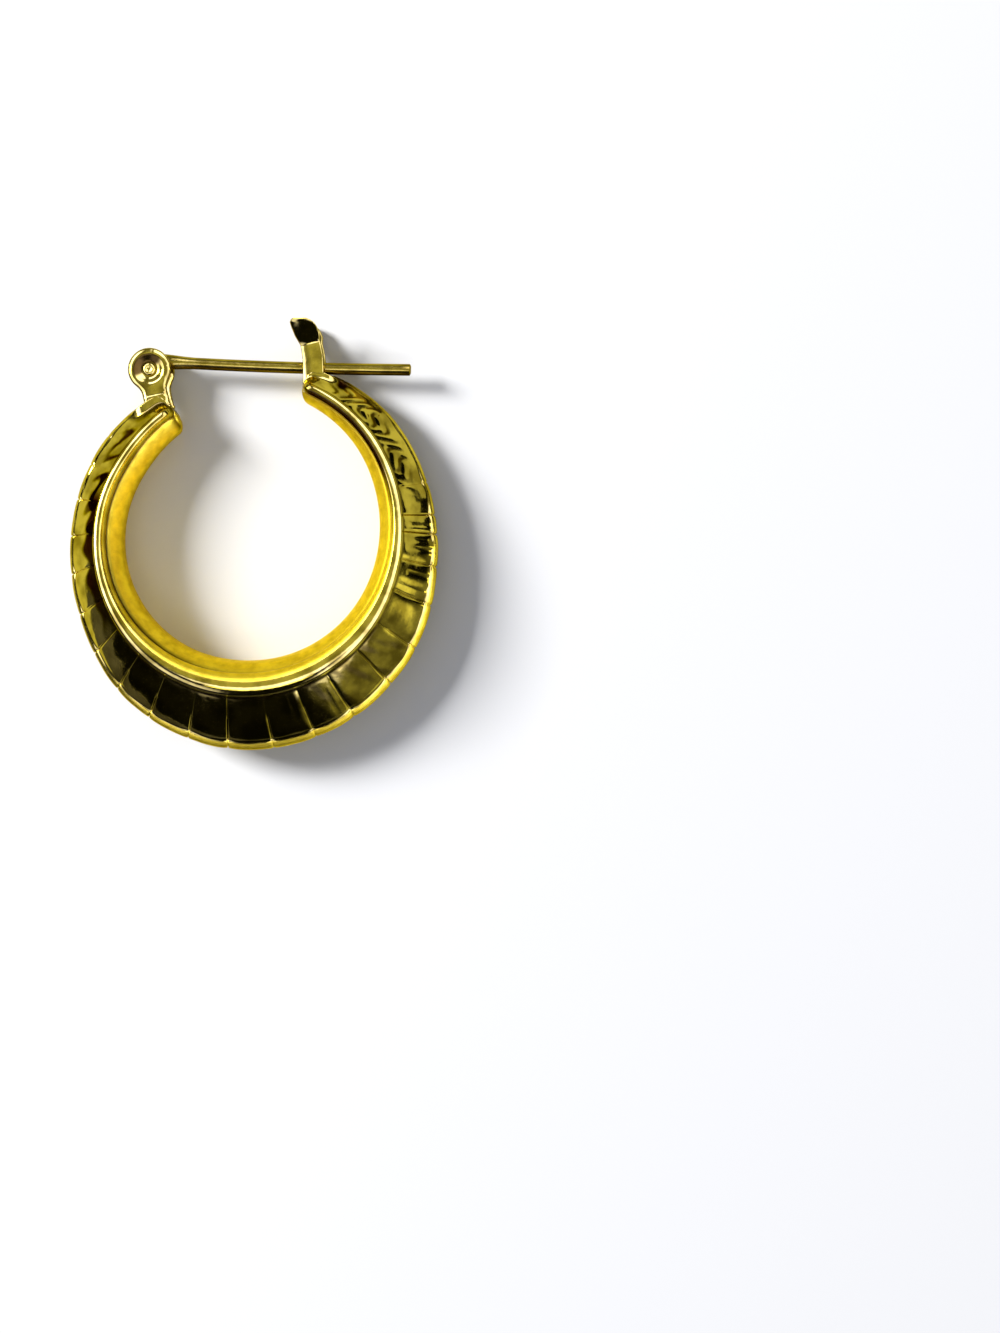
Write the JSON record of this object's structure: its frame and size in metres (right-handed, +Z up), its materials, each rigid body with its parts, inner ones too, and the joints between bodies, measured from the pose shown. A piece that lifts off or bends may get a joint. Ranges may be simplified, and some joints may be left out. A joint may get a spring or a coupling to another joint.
{
  "type": "hoop earring",
  "caption": "Fluted crescent hoop earring, closed by a hinged straight ear wire that snaps into a flared catch.",
  "frame": {"origin": "middle of the earring's plan, on the surface that it lies on", "axes": "+X along the ear wire from its hinge to its tip, +Y from the foot of the hoop to the ear wire, +Z up out of the front face"},
  "size_m": [0.0252, 0.0294, 0.0064],
  "materials": {
    "hoop_gold": "gold plated, polished flanks and rims, satin inner and outer bands",
    "pin_gold": "gold plated, polished",
    "wire_gold": "gold plated, polished"
  },
  "bodies": {
    "hoop": {"hoop": "hoop_gold", "hinge_pin": "pin_gold"},
    "ear_wire": {"ear_wire": "wire_gold"}
  },
  "joints": [
    {"name": "wire_hinge", "type": "hinge", "parent": "hoop", "child": "ear_wire", "pos_m": [-0.00709, 0.01117, 0.00196], "axis": [0, 0.0573, 0.9984], "range_deg": [0, 100]}
  ]
}
